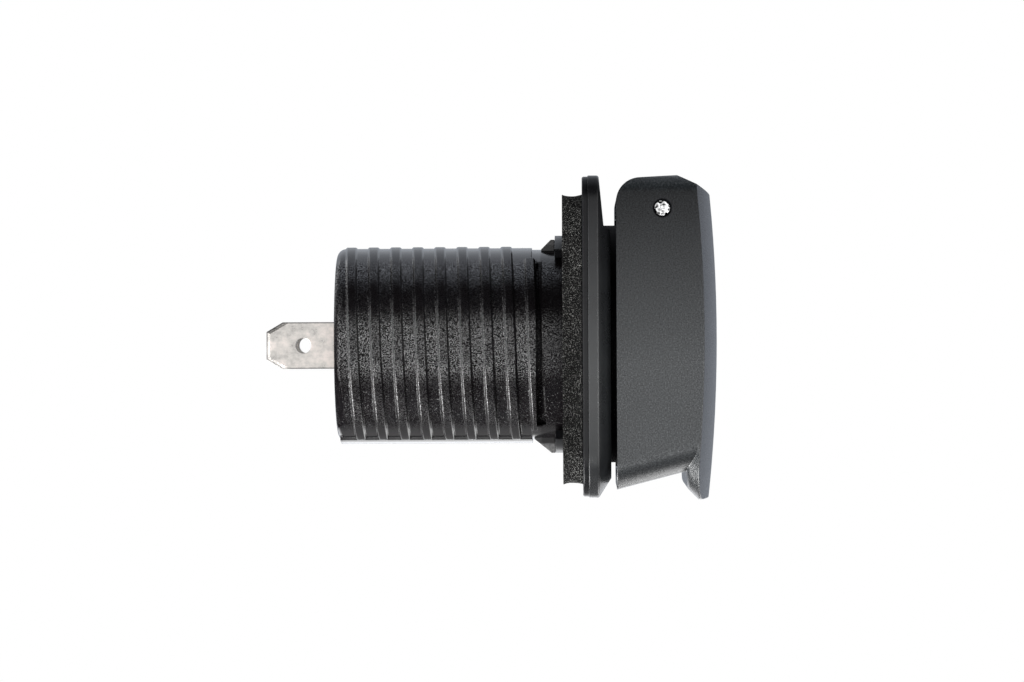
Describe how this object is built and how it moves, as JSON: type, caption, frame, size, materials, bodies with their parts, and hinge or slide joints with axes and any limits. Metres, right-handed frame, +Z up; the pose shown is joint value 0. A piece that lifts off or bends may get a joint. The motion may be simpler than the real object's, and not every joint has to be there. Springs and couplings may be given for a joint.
{
  "type": "car 12v power socket",
  "caption": "Panel-mounted car power socket: threaded barrel with flat terminals, square flange on a foam gasket, and a sprung hinged lid with a finger lip over the contact sleeve.",
  "frame": {"origin": "point where the barrel's axis meets the panel, on the plane of the gasket's rear face", "axes": "+X along the barrel's axis towards the user, +Z up towards the hinge, +Y across"},
  "size_m": [0.0609, 0.0428, 0.043],
  "materials": {
    "body_plastic": "spark-eroded grain",
    "lid_plastic": "fine matte grain",
    "flange_plastic": "satin",
    "foam": "cut closed-cell foam",
    "seal_rubber": "moulded",
    "steel": "bright",
    "plated_sleeve": "nickel plated",
    "tinned_strip": "tin plated",
    "brass": "plain",
    "phenolic": "pressed"
  },
  "bodies": {
    "socket": {"foam_gasket": "foam", "mounting_plate": "flange_plastic", "front_bezel": "flange_plastic", "socket_body": "body_plastic", "hinge_pin": "steel", "lid_spring": "steel", "contact_shell": "plated_sleeve", "insulating_disc": "phenolic", "centre_contact": "brass", "contact_rivet": "brass", "ground_rivet": "brass", "positive_blade": "tinned_strip", "negative_blade": "tinned_strip"},
    "cover": {"lid": "lid_plastic", "lid_seal": "seal_rubber"}
  },
  "joints": [
    {"name": "lid_hinge", "type": "hinge", "parent": "socket", "child": "cover", "pos_m": [0.01325, 0, 0.0179], "axis": [0, -1, 0], "range_deg": [0, 100], "stiffness_Nm_per_rad": 0.01, "springref_deg": -28.65, "deforming": ["lid_spring"]}
  ]
}
